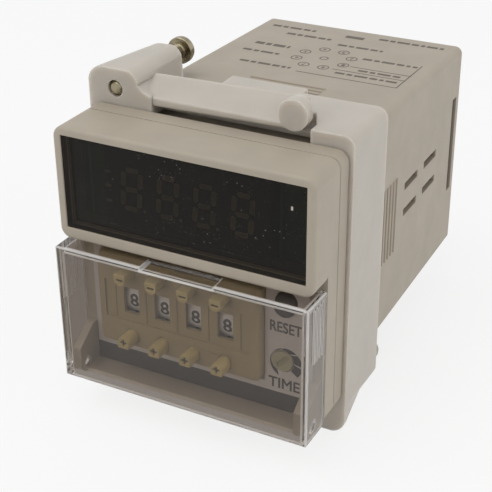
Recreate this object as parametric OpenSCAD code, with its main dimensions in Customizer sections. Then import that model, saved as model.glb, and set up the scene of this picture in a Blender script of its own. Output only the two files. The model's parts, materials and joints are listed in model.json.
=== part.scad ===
// Plug-in preset counter for a square panel cut-out.
// X runs to the right and Y from the front to the rear, with Z up. Sizes are in millimetres.
// The origin is the centre of the panel seat, which is the rear face of the case flange.

/* [Front] */
// Side of the square front, a standard panel size
front_size = 48; // [46:0.5:54]
// Corner radius of the square front
front_corner_r = 2; // [1:0.5:3]
// Thickness of the case flange that lies on the panel
flange_t = 3.2; // [2.4:0.2:4]
// Depth of the lower front face ahead of the panel
face_depth = 7.1; // [6.4:0.1:7.6]
// Depth of the display box ahead of the panel
display_depth = 12.4; // [11.6:0.1:13.4]
// Height of the underside of the display box above the centre
display_bottom = 3.3; // [2.6:0.1:4]
// Wall of the front moulding
bezel_wall = 1.8; // [1.4:0.1:2.2]
// Rounding of the front edges of the display box
display_edge_r = 0.6; // [0.6:0.1:1.4]
// Width of the parting line between the front moulding and the flange
parting_w = 0.25; // [0.15:0.05:0.4]
// Depth of the parting line
parting_sink = 0.3; // [0.2:0.05:0.5]

/* [Display] */
// Border round the window at its sides and top
window_border = 1.5; // [1.2:0.1:3]
// Border under the window
window_low_border = 2.2; // [1.6:0.1:3]
// Thickness of the window
window_t = 1.5; // [1:0.1:2]
// Depth of the window behind the front of the box
window_recess = 0.3; // [0.1:0.1:0.6]
// Shoulder that the window rests on
window_shoulder = 0.8; // [0.5:0.1:1.2]
// Width of the block with the four numerals
numeral_w = 30.8; // [28:0.1:36]
// Gap above and below the block with the four numerals
numeral_room = 0.7; // [0.4:0.1:3]
// Depth of the block with the four numerals
numeral_t = 2.8; // [2:0.1:3.2]

/* [Case] */
// Reach of the flange past the sides of the case
flange_lip = 1.6; // [1.4:0.1:2.4]
// Narrowing of each side of the case from the panel to the rear
body_draft = 1; // [0:0.05:1.1]
// Length of the case behind the panel
body_depth = 62; // [60:0.5:80]
// Radius along the long edges of the case
body_corner_r = 1.4; // [0.8:0.1:2]
// Wall of the case at the panel
case_wall = 1.9; // [1.7:0.1:2.2]

/* [Ratchet ribs] */
// Length of each ratchet rib
rib_l = 15; // [10:0.5:15]
// Distance between two ratchet ribs
rib_pitch = 1.5; // [1.2:0.1:2]
// Number of ratchet ribs on a side
rib_count = 5; // [3:1:6]
// Distance from the panel seat to the first rib
rib_start = 20.8; // [20.6:0.1:24]
// Height of the ribs above the case
rib_h = 0.35; // [0.2:0.05:0.4]

/* [Vents and latches] */
// Length of a vent slot
vent_l = 7; // [5:0.5:9]
// Width of a vent slot
vent_w = 1.5; // [1:0.1:2]
// Distance from the panel seat to the first vent slots
vent_start = 32; // [30:0.5:36]
// Distance between the vent slots along the case
vent_step = 10.5; // [9.5:0.5:12]
// Distance between the two rows of vent slots
vent_row_gap = 5.4; // [4:0.2:8]
// Height of the middle of the vent slots
vent_mid_z = 1; // [-4:0.5:4]
// Length of the latch slit
latch_l = 20; // [12:1:22]
// Width of the latch slit
latch_w = 2.2; // [1.6:0.1:2.4]
// Distance from the rear edge to the middle of the latch slit
latch_from_rear = 2.6; // [2.4:0.1:3.4]
// Height of the middle of the latch slit
latch_mid_z = 1.5; // [-3:0.5:3]

/* [Cover] */
// Wall of the clear cover
cover_wall = 1.1; // [0.8:0.1:1.3]
// Gap between the cover and the display box
cover_top_gap = 0.9; // [0.6:0.1:1.4]
// Gap between the cover and the lower front face
cover_rear_gap = 0.1; // [0.05:0.05:0.3]
// Distance from the lower front face to the hinge
hinge_out = 3.8; // [3.4:0.1:4]
// Height of the hinge above the lower edge
hinge_up = 2.1; // [1.9:0.1:2.3]
// Radius of the hinge pins
hinge_pin_r = 1; // [0.7:0.05:1.2]
// Radial clearance of the hinge pins
hinge_clear = 0.05; // [0.02:0.01:0.1]
// Thickness of the hinge lugs
lug_t = 1.6; // [1.2:0.1:2.2]
// Gap between a lug and the side wall of the cover
lug_gap = 0.2; // [0.1:0.05:0.4]
// Gap between a lug and the front wall of the cover
cover_front_gap = 0.3; // [0.2:0.05:0.6]
// Height of the root of a lug above the lower edge
lug_h = 8.8; // [7:0.1:11]
// Depth of the sill between the lugs
sill_out = 4.2; // [2.5:0.1:4.2]
// Thickness of the sill
sill_t = 0.9; // [0.6:0.1:1.2]
// Width of the finger scoop in the cover
scoop_w = 13.8; // [10:0.2:20]
// Height of the grip ribs on the sides of the cover
grip_h = 0.3; // [0.2:0.05:0.4]

/* [Name plate] */
// Thickness of the printed sheet
plate_t = 0.25; // [0.1:0.05:0.4]
// Gap between the sheet and the parts beside it
plate_gap = 0.15; // [0.05:0.05:0.3]

/* [Thumbwheel switch] */
// Distance from the left edge of the name plate to the switch
switch_left = 1.85; // [1.2:0.05:3]
// Distance from the right edge of the name plate to the switch
switch_right = 8.05; // [7.6:0.05:9]
// Distance from the top edge of the name plate to the switch
switch_top = 1; // [0.6:0.1:1.4]
// Distance from the lower edge of the name plate to the switch
switch_bottom = 5.4; // [4.8:0.1:6]
// Height of the switch front above the lower front face
switch_out = 2; // [1.6:0.1:2.4]
// Length of the switch body behind the lower front face
switch_body_l = 11.6; // [11.2:0.1:12.4]
// Lip of the switch front round its body
switch_lip = 0.5; // [0.3:0.1:0.6]
// Depth of the sunk strip in the switch front
strip_sink = 0.4; // [0.2:0.1:0.6]
// Width of the seams between the switch modules
seam_w = 0.25; // [0.15:0.05:0.4]
// Depth of the seams between the switch modules
seam_sink = 0.2; // [0.1:0.05:0.4]
// Width of the end plates beside the switch modules
end_plate_w = 3.6; // [3.2:0.1:4]
// Width of a digit window
digit_window_w = 3; // [2.4:0.1:3.4]
// Height of a digit window
digit_window_h = 5.1; // [4.2:0.1:5.4]
// Radius of a digit wheel
wheel_r = 5; // [4.6:0.1:5.2]
// Gap at each side of a digit wheel
wheel_side_gap = 0.55; // [0.3:0.05:0.75]
// Radius of the wheel axle
axle_r = 0.8; // [0.6:0.05:1]
// Radial clearance of the wheels on their axle
wheel_clear = 0.06; // [0.03:0.01:0.1]

/* [Keys] */
// Width of a plus or minus key
key_w = 2.2; // [2:0.1:2.5]
// Distance from the edge of the switch front to the middle of a key
key_edge = 2.55; // [2.45:0.05:2.9]
// Length of a key ahead of the switch front
key_out = 3.1; // [2.4:0.1:3.4]
// Clearance round the keys
key_clear = 0.1; // [0.05:0.01:0.15]
// Radius of the reset key
reset_r = 1.9; // [1.6:0.05:2.2]
// Distance from the right edge of the name plate to the reset key
reset_in = 4.15; // [3.8:0.05:4.6]
// Distance from the top edge of the name plate to the reset key
reset_down = 3.25; // [2.8:0.05:4]
// Travel of the reset key
reset_travel = 0.8; // [0.5:0.1:0.9]
// Radius of the time rotor
rotor_r = 1.95; // [1.7:0.05:2.2]
// Distance from the right edge of the name plate to the time rotor
rotor_in = 4.55; // [4:0.05:4.9]
// Distance from the lower edge of the name plate to the time rotor
rotor_up = 10.05; // [9:0.05:11]

/* [Bracket] */
// Wall of the bracket frame at its two sides
bracket_side_wall = 1.9; // [1.4:0.1:4]
// Wall of the bracket frame at its top and bottom
bracket_top_wall = 3.4; // [3.2:0.1:6]
// Length of the bracket frame along the case
bracket_l = 14; // [12:0.5:16]
// Gap between the bracket and the case
bracket_gap = 0.5; // [0.45:0.05:0.7]
// Distance of a clamp screw inward from the side of the case
screw_in = 3; // [2.5:0.1:3.4]
// Distance of a clamp screw above the case
screw_up = 4.5; // [4.2:0.1:5]
// Height of the screw bosses above the case
boss_h = 8.1; // [7.6:0.1:9]
// Length of the screw bosses
boss_l = 15; // [14:0.5:18]
// Radius of the clamp screws
screw_r = 1.45; // [1.2:0.05:1.6]
// Radial clearance of the clamp screws
screw_clear = 0.05; // [0.02:0.01:0.1]
// Length of the clamp screws under the head
screw_l = 21.3; // [19:0.1:26]
// Radius of the screw heads
screw_head_r = 2.5; // [2.2:0.1:3]
// Height of the screw heads
screw_head_h = 2.3; // [1.8:0.1:2.8]
// Length of the ratchet tongue from the panel seat
tongue_end = 20; // [18:0.1:20.2]

/* [Octal plug] */
// Diameter of the pin circle
pin_circle_d = 17.45; // [16:0.05:19]
// Diameter of a contact pin
pin_d = 2.36; // [2:0.02:2.6]
// How far the root of a pin stands out round the pin
pin_root = 0.25; // [0.1:0.05:0.4]
// Length of the pins behind the plug face
pin_l = 11.5; // [9:0.5:14]
// Diameter of the keyed post
post_d = 7.9; // [7:0.1:9]
// Length of the keyed post behind the plug face
post_l = 14.5; // [12:0.5:16]
// Diameter of the raised disc round the pins
disc_d = 33; // [28:0.5:36]
// Thickness of the plug plate
plug_t = 3; // [2:0.2:4]

/* [Boards] */
// Thickness of the circuit boards
board_t = 1.6; // [1:0.1:2]
// Distance of the two long boards from the side walls of the case
board_in = 3.7; // [3.2:0.1:4]
// Clearance of the boards in their guides
board_gap = 0.15; // [0.05:0.05:0.25]

/* [Hidden] */
$fn = 48;
hull_fn = 32;
eps = 0.02;
over = 1;
front_half = front_size / 2;
y_flange = -flange_t;
y_face = -face_depth;
y_display = -display_depth;
window_hx = front_half - window_border;
window_z0 = display_bottom + window_low_border;
window_z1 = front_half - window_border;
y_window = y_display + window_recess;
y_window_rear = y_window + window_t;
view_hx = window_hx - window_shoulder;
view_z0 = window_z0 + window_shoulder;
view_z1 = window_z1 - window_shoulder;
numeral_gap = 0.4;
y_numerals = y_window_rear + numeral_gap;
y_display_board = y_numerals + numeral_t;
body_size = front_size - 2 * flange_lip;
body_rear_size = body_size - 2 * body_draft;
inner_half = body_size / 2 - case_wall;
cover_top = display_bottom - cover_top_gap;
y_cover_rear = y_face - cover_rear_gap;
hinge_y = y_face - hinge_out;
hinge_z = -front_half + hinge_up;
hinge_reach = hinge_out - cover_rear_gap;
y_cover = hinge_y - hinge_up - cover_front_gap - cover_wall;
lug_x = front_half - cover_wall - lug_gap;
lug_slope_out = 1.4;
lug_slope_drop = 3.2;
plate_x = lug_x - lug_t - plate_gap;
plate_z0 = -front_half + sill_t + plate_gap;
plate_z1 = cover_top - cover_wall - plate_gap;
switch_x0 = -plate_x + switch_left;
switch_x1 = plate_x - switch_right;
switch_z0 = plate_z0 + switch_bottom;
switch_z1 = plate_z1 - switch_top;
switch_mid_x = (switch_x0 + switch_x1) / 2;
switch_mid_z = (switch_z0 + switch_z1) / 2;
y_switch = y_face - switch_out;
y_switch_rear = y_face + switch_body_l;
switch_front_t = 1.2;
y_switch_inner = y_switch + switch_front_t;
switch_wall = 0.6;
digit_rise = 0.2;
digit_window_rise = 0.25;
strip_left = 1.5;
strip_right = 2.05;
digit_z = switch_mid_z + digit_rise;
digit_pitch = (switch_x1 - switch_x0 - 2 * end_plate_w) / 4;
digit_x = [for (i = [0:3]) switch_mid_x + (i - 1.5) * digit_pitch];
partition_t = 0.7;
cell_w = digit_pitch - partition_t;
wheel_w = cell_w - 2 * wheel_side_gap;
wheel_gap = 0.3;
wheel_y = y_switch_inner + wheel_gap + wheel_r;
key_z = [switch_z1 - key_edge, switch_z0 + key_edge];
key_foot = 0.5;
key_foot_t = 0.6;
key_foot_gap = 0.1;
y_key = y_switch - key_out;
y_key_rear = y_switch_inner + key_foot_gap + key_foot_t;
key_sign_l = 1.4;
key_sign_w = 0.45;
key_sign_sink = 0.25;
y_control_board = -0.9;
control_gap = 0.6;
control_x0 = switch_x1 + control_gap;
reset_x = plate_x - reset_in;
reset_z = plate_z1 - reset_down;
rotor_x = plate_x - rotor_in;
rotor_z = plate_z0 + rotor_up;
reset_out = 0.9;
reset_collar = 0.5;
reset_collar_t = 0.6;
reset_collar_gap = 0.1;
y_reset_collar = y_face + bezel_wall + reset_collar_gap;
y_reset_rear = y_reset_collar + reset_collar_t;
bore_clear = 0.05;
rotor_out = 0.5;
trimmer_t = 2.3;
bracket_hole = body_size + 2 * bracket_gap;
bracket_start = 0.05;
bracket_w = bracket_hole + 2 * bracket_side_wall;
bracket_h = bracket_hole + 2 * bracket_top_wall;
screw_x = body_size / 2 - screw_in;
screw_z = body_size / 2 + screw_up;
boss_top = body_size / 2 + boss_h;
arm_floor = 1.2;
arm_gap = 0.5;
arm_z = bracket_hole / 2 + arm_floor + arm_gap;
arm_h = 3.8;
arm_rear = 6.4;
arm_root = 7.1;
boss_side = 4.4;
knob_r = 2.65;
knob_in = 5.4;
knob_l = 2;
knob_x = screw_x - knob_in;
plug_sink = 0.3;
plug_gap = 0.2;
y_plug = body_depth - plug_sink;
plug_half = inner_half - plug_gap;
disc_t = 0.6;
latch_y = body_depth - latch_from_rear;
board_rear = y_plug - plug_t;
board_x = inner_half - board_in;
board_top = board_x - board_t / 2;
middle_gap = 1;
tall_part_h = board_top - middle_gap;
guide_t = 1;
guide_h = 1.4;
guide_end = 4;

// Half of the side of the case at a distance behind the panel seat, with its draft.
function body_half(y) = (body_size + (body_rear_size - body_size) * y / body_depth) / 2;

// The two values in rising order.
function sort_pair(a, b) = [min(a, b), max(a, b)];

// Block between two corners.
module slab(x, y, z) {
    translate([x[0], y[0], z[0]])
        cube([x[1] - x[0], y[1] - y[0], z[1] - z[0]]);
}

// Outline in X and Z, drawn out along Y.
module along_y(y0, y1) {
    translate([0, y1, 0])
        rotate([90, 0, 0])
            linear_extrude(y1 - y0)
                children();
}

// Outline in Y and Z, drawn out along X.
module along_x(x0, x1) {
    translate([x0, 0, 0])
        rotate([90, 0, 90])
            linear_extrude(x1 - x0)
                children();
}

// Cylinder along Y.
module rod_y(x, z, y0, y1, r) {
    translate([x, y1, z])
        rotate([90, 0, 0])
            cylinder(h = y1 - y0, r = r);
}

// Cylinder along X.
module rod_x(y, z, x0, x1, r) {
    translate([x0, y, z])
        rotate([0, 90, 0])
            cylinder(h = x1 - x0, r = r);
}

// Rectangle with round corners.
module round_rect(x, z, r) {
    translate([x[0] + r, z[0]])
        square([x[1] - x[0] - 2 * r, z[1] - z[0]]);
    translate([x[0], z[0] + r])
        square([x[1] - x[0], z[1] - z[0] - 2 * r]);
    for (cx = [x[0] + r, x[1] - r], cz = [z[0] + r, z[1] - r])
        translate([cx, cz])
            circle(r);
}

// Block with round corners in X and Z and rounded front edges.
module soft_block(x, z, y_front, y_rear, corner_r, edge_r) {
    hull() {
        along_y(y_rear - eps, y_rear)
            round_rect(x, z, corner_r, $fn = hull_fn);
        for (a = [0:22.5:90]) {
            inset = edge_r * (1 - cos(a));
            y = y_front + edge_r * (1 - sin(a));
            along_y(y, y + eps)
                round_rect(
                    [x[0] + inset, x[1] - inset],
                    [z[0] + inset, z[1] - inset],
                    max(corner_r - inset, 0.3),
                    $fn = hull_fn);
        }
    }
}

// Case: flange, drafted body, ratchet ribs, vents, latch slits and board guides.
module ratchet_ribs() {
    for (a = [0:90:270], i = [0:rib_count - 1]) {
        y = rib_start + i * rib_pitch;
        z = body_half(y);
        rotate([0, a, 0])
            along_x(-rib_l / 2, rib_l / 2)
                polygon([
                    [y, z - case_wall / 3],
                    [y, z + rib_h],
                    [y + rib_pitch * 0.35, z + rib_h],
                    [y + rib_pitch * 0.8, z - case_wall / 3]]);
    }
}

module board_guides() {
    for (s = [-1, 1], t = [-1, 1], e = [-1, 1]) {
        x = s * board_x + e * (board_t / 2 + board_gap + guide_t / 2);
        z = sort_pair(t * (inner_half + eps), t * (inner_half - guide_h));
        slab([x - guide_t / 2, x + guide_t / 2], [rib_start, board_rear - guide_end], z);
    }
}

module case() {
    color("#b9b09c") {
        difference() {
            union() {
                along_y(y_flange, 0)
                    round_rect([-front_half, front_half], [-front_half, front_half], front_corner_r);
                hull() {
                    along_y(-flange_t / 2, 0)
                        round_rect(
                            [-body_half(0), body_half(0)], [-body_half(0), body_half(0)],
                            body_corner_r, $fn = hull_fn);
                    along_y(body_depth - eps, body_depth)
                        round_rect(
                            [-body_rear_size / 2, body_rear_size / 2],
                            [-body_rear_size / 2, body_rear_size / 2],
                            body_corner_r, $fn = hull_fn);
                }
                ratchet_ribs();
            }
            slab([-inner_half, inner_half], [y_flange - over, body_depth + over], [-inner_half, inner_half]);
            for (i = [0, 1], j = [-1, 1]) {
                y = vent_start + i * vent_step;
                z = vent_mid_z + j * vent_row_gap / 2;
                slab([-front_half, front_half], [y, y + vent_l], [z - vent_w / 2, z + vent_w / 2]);
            }
            slab(
                [-front_half, front_half],
                [latch_y - latch_w / 2, latch_y + latch_w / 2],
                [latch_mid_z - latch_l / 2, latch_mid_z + latch_l / 2]);
        }
        board_guides();
    }
}

// Front moulding: display box, lower front face, hinge lugs and sill.
module hinge_lug() {
    front = hinge_y - hinge_up;
    top = -front_half + lug_h;
    difference() {
        union() {
            polygon([
                [y_face + eps, -front_half],
                [hinge_y, -front_half],
                [front, hinge_z],
                [front, top - lug_slope_drop],
                [y_face - lug_slope_out, top],
                [y_face + eps, top]]);
            translate([hinge_y, hinge_z])
                circle(hinge_up);
        }
        translate([hinge_y, hinge_z])
            circle(hinge_pin_r + hinge_clear);
    }
}

module front_bezel() {
    seat_half = front_half - parting_sink;
    color("#bdb4a0") {
        difference() {
            union() {
                along_y(y_face, y_flange - parting_w)
                    round_rect(
                        [-front_half, front_half], [-front_half, front_half], front_corner_r, $fn = hull_fn);
                along_y(y_face + eps, y_flange)
                    round_rect(
                        [-seat_half, seat_half], [-seat_half, seat_half], front_corner_r, $fn = hull_fn);
                soft_block(
                    [-front_half, front_half], [display_bottom, front_half],
                    y_display, y_flange - parting_w, front_corner_r, display_edge_r);
            }
            slab([-window_hx, window_hx], [y_display - over, y_window_rear], [window_z0, window_z1]);
            slab([-view_hx, view_hx], [y_window_rear - over, y_flange + over], [view_z0, view_z1]);
            slab(
                [-inner_half, inner_half],
                [y_face + bezel_wall, y_flange + over],
                [-inner_half, view_z0 + over]);
            slab(
                [switch_x0 + switch_lip - bore_clear, switch_x1 - switch_lip + bore_clear],
                [y_face - over, y_face + bezel_wall + over],
                [switch_z0 + switch_lip - bore_clear, switch_z1 - switch_lip + bore_clear]);
            rod_y(reset_x, reset_z, y_face - over, y_face + bezel_wall + over, reset_r + bore_clear);
            rod_y(rotor_x, rotor_z, y_face - over, y_face + bezel_wall + over, rotor_r + bore_clear);
        }
        along_x(-lug_x, -lug_x + lug_t)
            hinge_lug();
        along_x(lug_x - lug_t, lug_x)
            hinge_lug();
        slab(
            [-lug_x + lug_t - eps, lug_x - lug_t + eps],
            [y_face - sill_out, y_face + eps],
            [-front_half, -front_half + sill_t]);
    }
}

module display_window() {
    color("#1d1a17")
        slab([-window_hx, window_hx], [y_window, y_window_rear], [window_z0, window_z1]);
}

// Clear cover, hinged on two pins at its lower corners.
module cover_outline() {
    difference() {
        translate([y_cover, -front_half])
            square([y_cover_rear - y_cover, cover_top + front_half]);
        difference() {
            translate([hinge_y, -front_half - over])
                square([hinge_reach + over, hinge_up + over]);
            translate([hinge_y, hinge_z])
                circle(hinge_reach);
        }
    }
}

module front_cover() {
    grip_l = 10;
    grip_w = 0.5;
    grip_count = 4;
    grip_step = 1.1;
    grip_in = 2;
    grip_top = cover_top - 1;
    scoop_d = 3;
    pin_end = lug_x - lug_t + 0.3;
    color("#dfe3e2", 0.4) {
        difference() {
            along_x(-front_half, front_half)
                cover_outline();
            slab(
                [-front_half + cover_wall, front_half - cover_wall],
                [y_cover + cover_wall, y_face + over],
                [-front_half - over, cover_top - cover_wall]);
            slab(
                [-scoop_w / 2, scoop_w / 2],
                [y_cover - over, y_cover + scoop_d],
                [cover_top - cover_wall / 2, cover_top + over]);
        }
        for (s = [-1, 1], i = [0:grip_count - 1]) {
            y = y_cover + grip_in + i * grip_step;
            x = sort_pair(s * (front_half - eps), s * (front_half + grip_h));
            slab(x, [y, y + grip_w], [grip_top - grip_l, grip_top]);
        }
        for (s = [-1, 1]) {
            x = sort_pair(s * (front_half - cover_wall / 2), s * pin_end);
            rod_x(hinge_y, hinge_z, x[0], x[1], hinge_pin_r);
        }
    }
}

module name_plate() {
    color("#b4aeaa")
        difference() {
            slab([-plate_x, plate_x], [y_face - plate_t, y_face], [plate_z0, plate_z1]);
            slab(
                [switch_x0 - plate_gap, switch_x1 + plate_gap],
                [y_face - over, y_face + over],
                [switch_z0 - plate_gap, switch_z1 + plate_gap]);
            rod_y(reset_x, reset_z, y_face - over, y_face + over, reset_r + plate_gap);
            rod_y(rotor_x, rotor_z, y_face - over, y_face + over, rotor_r + plate_gap);
        }
}

// Thumbwheel switch: housing, axle, four number drums and eight keys.
module key_outline(clear) {
    half = key_w / 2 + clear;
    circle(half);
    translate([-half, 0])
        square([2 * half, half + 0.05]);
}

module switch_housing() {
    strip_h = digit_window_h + 2.4;
    body_x0 = switch_x0 + switch_lip;
    body_x1 = switch_x1 - switch_lip;
    corner_r = 1.2;
    edge_r = 0.7;
    window_mid = digit_z + digit_window_rise;
    color("#a89a74")
        difference() {
            union() {
                soft_block(
                    [switch_x0, switch_x1], [switch_z0, switch_z1], y_switch, y_face, corner_r, edge_r);
                slab(
                    [body_x0, body_x1], [y_face - eps, y_switch_rear],
                    [switch_z0 + switch_lip, switch_z1 - switch_lip]);
            }
            slab(
                [switch_x0 + strip_left, switch_x1 - strip_right],
                [y_switch - over, y_switch + strip_sink],
                [digit_z - strip_h / 2, digit_z + strip_h / 2]);
            for (i = [0:4]) {
                x = switch_mid_x + (i - 2) * digit_pitch;
                slab(
                    [x - seam_w / 2, x + seam_w / 2],
                    [y_switch - over, y_switch + strip_sink + seam_sink],
                    [digit_z - strip_h / 2, digit_z + strip_h / 2]);
            }
            for (x = digit_x) {
                slab(
                    [x - digit_window_w / 2, x + digit_window_w / 2],
                    [y_switch - over, y_switch_inner + over],
                    [window_mid - digit_window_h / 2, window_mid + digit_window_h / 2]);
                slab(
                    [x - cell_w / 2, x + cell_w / 2],
                    [y_switch_inner, y_switch_rear + over],
                    [switch_z0 + switch_lip + switch_wall, switch_z1 - switch_lip - switch_wall]);
                along_y(y_switch - over, y_switch_inner + over)
                    translate([x, key_z[0]])
                        key_outline(key_clear);
                along_y(y_switch - over, y_switch_inner + over)
                    translate([x, key_z[1]])
                        mirror([0, 1])
                            key_outline(key_clear);
            }
            rod_x(wheel_y, digit_z, body_x0 + switch_wall, body_x1 - switch_wall, axle_r);
        }
}

module wheel_axle() {
    color("#c9c9c6")
        rod_x(
            wheel_y, digit_z, switch_x0 + switch_lip + switch_wall,
            switch_x1 - switch_lip - switch_wall, axle_r);
}

module digit_wheel(i) {
    x = digit_x[i];
    rim_t = 0.9;
    hub_r = axle_r + wheel_clear + 0.9;
    web_t = 1;
    ratchet_r = wheel_r - 1.6;
    color("#f0eee8")
        difference() {
            union() {
                difference() {
                    rod_x(wheel_y, digit_z, x - wheel_w / 2, x + wheel_w / 2, wheel_r);
                    rod_x(wheel_y, digit_z, x - wheel_w / 2 + web_t, x + wheel_w / 2 + over, wheel_r - rim_t);
                }
                rod_x(wheel_y, digit_z, x - wheel_w / 2, x + wheel_w / 2, hub_r);
                rod_x(wheel_y, digit_z, x - wheel_w / 2, x + web_t, ratchet_r, $fn = 10);
            }
            rod_x(wheel_y, digit_z, x - wheel_w, x + wheel_w, axle_r + wheel_clear);
        }
}

// Push key with a flat side, a retaining foot and a sunk sign on its end.
module key(i, up) {
    x = digit_x[i];
    z = up > 0 ? key_z[0] : key_z[1];
    foot = key_w / 2 + key_foot;
    foot_h = key_w / 2 - 0.3;
    color("#c2b68c")
        difference() {
            union() {
                along_y(y_key, y_key_rear)
                    translate([x, z])
                        scale_flip(up)
                            key_outline(0);
                slab(
                    [x - foot, x + foot], [y_switch_inner + key_foot_gap, y_key_rear],
                    [z - foot_h, z + foot_h]);
            }
            slab(
                [x - key_sign_l / 2, x + key_sign_l / 2], [y_key - over, y_key + key_sign_sink],
                [z - key_sign_w / 2, z + key_sign_w / 2]);
            if (up < 0)
                slab(
                    [x - key_sign_w / 2, x + key_sign_w / 2], [y_key - over, y_key + key_sign_sink],
                    [z - key_sign_l / 2, z + key_sign_l / 2]);
        }
}

module scale_flip(up) {
    if (up > 0)
        children();
    else
        mirror([0, 1])
            children();
}

module switch_board() {
    color("#3f6b46")
        slab(
            [switch_x0 + switch_lip, switch_x1 - switch_lip],
            [y_switch_rear, y_switch_rear + board_t],
            [switch_z0 + switch_lip, switch_z1 - switch_lip]);
}

// Reset key and time rotor with the parts that they work on.
module reset_button() {
    dish_r = 6;
    dish_sink = 0.15;
    color("#2f2d2b")
        difference() {
            union() {
                rod_y(reset_x, reset_z, y_face - reset_out, y_reset_rear, reset_r);
                rod_y(reset_x, reset_z, y_reset_collar, y_reset_rear, reset_r + reset_collar);
            }
            translate([reset_x, y_face - reset_out - dish_r + dish_sink, reset_z])
                sphere(dish_r);
        }
}

module reset_switch() {
    half = 3;
    stub_r = 1.7;
    stub_gap = 0.1;
    stub_l = 0.4;
    y_stub = y_reset_rear + reset_travel + stub_gap;
    y_body = y_stub + stub_l;
    color("#3a3a3c") {
        slab(
            [reset_x - half, reset_x + half], [y_body, y_control_board],
            [reset_z - half, reset_z + half]);
        rod_y(reset_x, reset_z, y_stub, y_body + eps, stub_r);
    }
}

module time_adjuster() {
    slot_l = 2.9;
    slot_w = 0.8;
    slot_sink = 0.5;
    turn = -45;
    rear_gap = 0.1;
    y_front = y_face - rotor_out;
    color("#cfd0a6")
        difference() {
            rod_y(rotor_x, rotor_z, y_front, y_control_board - trimmer_t - rear_gap, rotor_r);
            translate([rotor_x, y_front, rotor_z])
                rotate([0, turn, 0])
                    slab([-slot_l / 2, slot_l / 2], [-over, slot_sink], [-slot_w / 2, slot_w / 2]);
        }
}

module trimmer_body() {
    half = 3;
    color("#35506b")
        slab(
            [rotor_x - half, rotor_x + half], [y_control_board - trimmer_t, y_control_board],
            [rotor_z - half, rotor_z + half]);
}

module control_board() {
    color("#3f6b46")
        slab(
            [control_x0, inner_half - board_gap], [y_control_board, y_control_board + board_t],
            [-inner_half + board_gap, display_bottom]);
}

// Display board with its numeral block.
module display_board() {
    color("#3f6b46")
        slab(
            [-view_hx + board_gap, view_hx - board_gap],
            [y_display_board, y_display_board + board_t],
            [view_z0 + board_gap, view_z1 - board_gap]);
}

module led_digits() {
    color("#2b2726")
        slab(
            [-numeral_w / 2, numeral_w / 2], [y_numerals, y_display_board],
            [view_z0 + numeral_room, view_z1 - numeral_room]);
}

// Long boards in the case with what they carry.
module long_board(side, y0) {
    slab(
        [side * board_x - board_t / 2, side * board_x + board_t / 2],
        [y0, board_rear], [-inner_half + board_gap, inner_half - board_gap]);
}

module logic_board() {
    color("#3f6b46")
        long_board(-1, y_switch_rear + board_t);
}

module controller_chip() {
    chip_l = 13;
    chip_t = 2.2;
    chip_from_front = 8;
    chip_from_top = 5;
    y = y_switch_rear + chip_from_front;
    z = inner_half - chip_from_top;
    color("#26262a")
        slab([-board_top, -board_top + chip_t], [y, y + chip_l], [z - chip_l, z]);
}

module relay() {
    relay_l = 20;
    relay_w = 10;
    relay_from_rear = 4;
    relay_from_bottom = 4.5;
    y = board_rear - relay_from_rear;
    z = -inner_half + relay_from_bottom;
    color("#3c4550")
        slab([-board_top, -board_top + tall_part_h], [y - relay_l, y], [z, z + relay_w]);
}

module power_board() {
    color("#3f6b46")
        long_board(1, y_control_board + board_t);
}

module transformer() {
    core_l = 20;
    core_w = 24;
    coil_out = 3;
    coil_in = 2;
    core_from_rear = 5;
    core_from_top = 3.5;
    y = board_rear - core_from_rear;
    z = inner_half - core_from_top - core_w / 2;
    color("#6b655c") {
        slab([board_top - tall_part_h, board_top], [y - core_l, y], [z - core_w / 2, z + core_w / 2]);
        slab(
            [board_top - tall_part_h + coil_in, board_top - coil_in],
            [y - core_l - coil_out, y + coil_out], [z - core_w / 4, z + core_w / 4]);
    }
}

module capacitors() {
    can_r = 4;
    can_l = 11;
    can_gap = 2;
    can_from_front = 9;
    can_from_bottom = 8.5;
    z = -inner_half + can_from_bottom;
    color("#4b4f66")
        for (i = [0, 1]) {
            y = y_switch_rear + can_from_front + i * (2 * can_r + can_gap);
            rod_x(y, z, board_top - can_l, board_top, can_r);
        }
}

// Rear plug: plate with latches and keyed post, and the eight contact pins.
module pin_places() {
    for (i = [0:7])
        rotate([0, 22.5 + 45 * i, 0])
            translate([pin_circle_d / 2, 0, 0])
                children();
}

module plug_base() {
    key_w_post = 2.2;
    key_out_post = 1.2;
    latch_t = 1.2;
    nub_gap = 0.2;
    nub_sink = 0.5;
    post_tip = 0.8;
    nub_y0 = latch_y - latch_w / 2 + nub_gap;
    nub_z = [latch_mid_z - latch_l / 2 + nub_gap, latch_mid_z + latch_l / 2 - nub_gap];
    color("#3a3733")
        difference() {
            union() {
                slab([-plug_half, plug_half], [y_plug - plug_t, y_plug], [-plug_half, plug_half]);
                rod_y(0, 0, y_plug - eps, y_plug + disc_t, disc_d / 2);
                rod_y(0, 0, y_plug, y_plug + post_l - post_tip, post_d / 2);
                translate([0, y_plug + post_l, 0])
                    rotate([90, 0, 0])
                        cylinder(h = post_tip + eps, r1 = post_d / 2 - post_tip, r2 = post_d / 2);
                slab(
                    [-key_w_post / 2, key_w_post / 2], [y_plug, y_plug + post_l - post_tip],
                    [-post_d / 2 - key_out_post, 0]);
                for (s = [-1, 1]) {
                    arm = sort_pair(s * plug_half, s * (plug_half - latch_t));
                    nub = sort_pair(s * (plug_half - eps), s * (body_half(latch_y) - nub_sink));
                    slab(arm, [min(nub_y0, y_plug - plug_t - latch_t), y_plug - plug_t + eps], nub_z);
                    slab(nub, [nub_y0, latch_y + latch_w / 2 - nub_gap], nub_z);
                }
            }
            pin_places()
                rod_y(0, 0, y_plug - plug_t - over, y_plug + disc_t + over, pin_d / 2 + pin_root);
        }
}

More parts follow.
